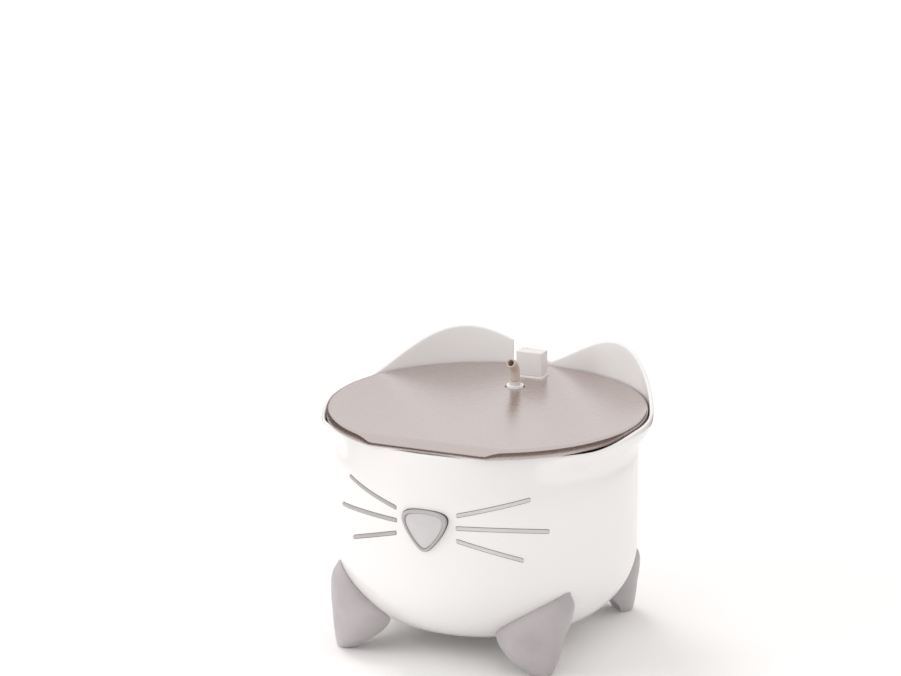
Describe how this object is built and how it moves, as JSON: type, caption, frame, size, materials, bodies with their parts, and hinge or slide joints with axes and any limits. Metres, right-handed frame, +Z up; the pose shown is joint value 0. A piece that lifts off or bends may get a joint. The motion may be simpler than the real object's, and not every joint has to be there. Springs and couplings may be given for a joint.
{
  "type": "pet water fountain",
  "caption": "Electric pet drinking fountain: white pot with ears on grey feet, plastic deck and steel top over a filter tray and a submerged pump, with a bent spout.",
  "frame": {"origin": "on the table under the middle of the outline without the cord", "axes": "+Z up, the pot's drinking lip and nose face -Y, +X to the right of someone facing the nose"},
  "size_m": [0.221, 0.2891, 0.1819],
  "materials": {
    "pot_white": "glossy moulded white plastic",
    "foot_grey": "soft matte grey moulded elastomer",
    "nose_border": "satin dark grey moulded border",
    "nose_grey": "satin light grey moulded plastic",
    "whisker_grey": "satin grey inlaid strips",
    "deck_white": "glossy moulded white plastic",
    "window_grey": "translucent smoky plastic",
    "steel": "fine brushed stainless sheet",
    "spout_taupe": "warm grey flexible plastic",
    "silicone": "translucent silicone tube",
    "tray_clear": "frosted translucent plastic",
    "filter_fleece": "bonded fleece sheet",
    "carbon_fleece": "fleece pockets, grey with carbon inside",
    "resin_fleece": "fleece pockets, peach with resin inside",
    "carbon": "loose black granules",
    "resin": "loose amber resin beads",
    "pump_grey": "warm grey moulded plastic",
    "cover_grey": "warm grey moulded plastic",
    "impeller_white": "moulded acetal",
    "magnet": "sintered ferrite",
    "shaft_steel": "ground steel pin",
    "bush": "ceramic bush",
    "core_iron": "stacked iron sheets",
    "coil_copper": "enamelled copper winding",
    "knob_grey": "grey moulded plastic",
    "led_red": "red lens",
    "sensor_grey": "grey plastic window",
    "gland_rubber": "grey rubber",
    "cup_rubber": "translucent rubber",
    "cord_grey": "matte grey cord sheath",
    "tie_black": "black tie strap",
    "plug_grey": "overmoulded grey plug body",
    "plug_shell": "stamped steel shell"
  },
  "bodies": {
    "pot": {"reservoir": "pot_white", "foot_front_left": "foot_grey", "foot_front_right": "foot_grey", "foot_rear_left": "foot_grey", "foot_rear_right": "foot_grey", "nose_bezel": "nose_border", "nose_cap": "nose_grey", "whiskers": "whisker_grey", "cord_grommet": "gland_rubber", "cord_outer": "cord_grey", "cord_coil": "cord_grey", "coil_tie": "tie_black", "plug_lead": "cord_grey", "usb_plug_body": "plug_grey", "usb_plug_shell": "plug_shell"},
    "deck": {"deck": "deck_white", "tower_window": "window_grey"},
    "steel": {"steel_top": "steel"},
    "collar": {"spout_collar": "spout_taupe"},
    "elbow": {"spout_elbow": "spout_taupe"},
    "riser": {"riser_tube": "silicone"},
    "tray": {"filter_tray": "tray_clear"},
    "filter": {"filter_sheet": "filter_fleece", "carbon_pockets": "carbon_fleece", "resin_pockets": "resin_fleece", "carbon_granules": "carbon", "resin_granules": "resin"},
    "pump": {"pump_housing": "pump_grey", "pump_base": "cover_grey", "rotor_shaft": "shaft_steel", "shaft_bushes": "bush", "stator_core": "core_iron", "stator_coil": "coil_copper", "led_lens": "led_red", "level_sensor": "sensor_grey", "cord_gland": "gland_rubber", "suction_cups": "cup_rubber", "cord_inner": "cord_grey"},
    "cover": {"pump_cover": "cover_grey"},
    "rotor": {"impeller": "impeller_white", "rotor_magnet": "magnet"},
    "knob": {"flow_knob": "knob_grey"}
  },
  "joints": [
    {"name": "deck_lift", "type": "slide", "parent": "pot", "child": "deck", "axis": [0, 0, 1], "range_m": [0, 0.153]},
    {"name": "steel_lift", "type": "slide", "parent": "deck", "child": "steel", "axis": [0, 0, 1], "range_m": [0, 0.0705]},
    {"name": "spout_lift", "type": "slide", "parent": "steel", "child": "collar", "axis": [0, 0, 1], "range_m": [0, 0.022]},
    {"name": "spout_swivel", "type": "hinge", "parent": "collar", "child": "elbow", "pos_m": [0, 0.0436, 0.16], "axis": [0, 0, 1], "range_deg": [-120, 120]},
    {"name": "tray_pull", "type": "slide", "parent": "deck", "child": "tray", "axis": [-0.8187, 0, -0.5743], "range_m": [0, 0.1228]},
    {"name": "filter_lift", "type": "slide", "parent": "tray", "child": "filter", "axis": [0, 0, 1], "range_m": [0, 0.04]},
    {"name": "pump_lift", "type": "slide", "parent": "pot", "child": "pump", "axis": [0, 0, 1], "range_m": [0, 0.136]},
    {"name": "tube_pull", "type": "slide", "parent": "pump", "child": "riser", "axis": [0, 0, 1], "range_m": [0, 0.016]},
    {"name": "cover_pull", "type": "slide", "parent": "pump", "child": "cover", "axis": [-0.788, 0.6157, 0], "range_m": [0, 0.008]},
    {"name": "impeller_spin", "type": "hinge", "parent": "pump", "child": "rotor", "pos_m": [-0.00585, 0.03611, 0.0385], "axis": [-0.788, 0.6157, 0], "continuous": true},
    {"name": "flow_turn", "type": "hinge", "parent": "pump", "child": "knob", "pos_m": [-0.02017, 0.01697, 0.0465], "axis": [0.6157, 0.788, 0], "range_deg": [-70, 70]}
  ],
  "couplings": [
    {"joint": "tray_pull", "follows": "deck_lift", "ratio": 0.8026},
    {"joint": "filter_lift", "follows": "deck_lift", "ratio": 0.2614},
    {"joint": "pump_lift", "follows": "deck_lift", "ratio": 0.8889}
  ]
}
